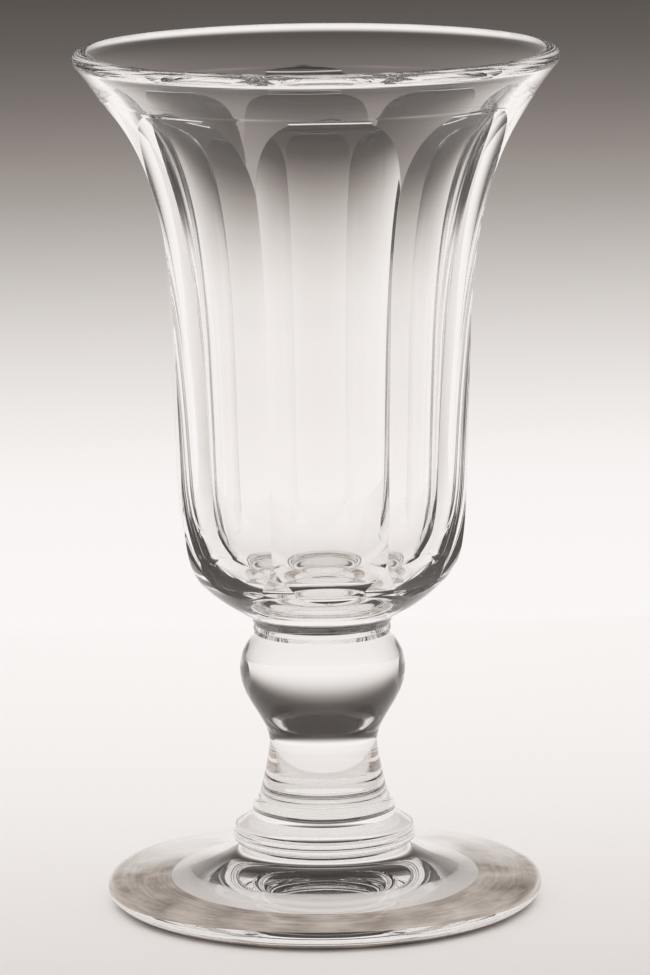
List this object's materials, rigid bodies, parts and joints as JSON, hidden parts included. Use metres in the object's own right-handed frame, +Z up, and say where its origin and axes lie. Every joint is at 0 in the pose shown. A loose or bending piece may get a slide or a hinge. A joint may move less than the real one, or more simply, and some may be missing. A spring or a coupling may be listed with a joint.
{
  "type": "celery glass",
  "caption": "Tall footed celery glass with a flared bowl cut in broad arched flutes, a solid knopped stem, a flanged collar and a thick round foot.",
  "frame": {"origin": "centre of the foot on the table plane", "axes": "+Z up along the axis of the glass, from the foot to the lip; a cut flute faces -Y"},
  "size_m": [0.1262, 0.1262, 0.2261],
  "materials": {
    "foot_glass": "clear lead glass, fire polished, ground and polished underneath",
    "stem_glass": "clear lead glass, fire polished",
    "bowl_glass": "clear lead glass, cut in broad flutes and polished"
  },
  "bodies": {
    "root": {"foot": "foot_glass", "collar": "stem_glass", "foot_wafer": "stem_glass", "stem": "stem_glass", "bowl_wafer": "stem_glass", "bowl": "bowl_glass"}
  },
  "joints": []
}
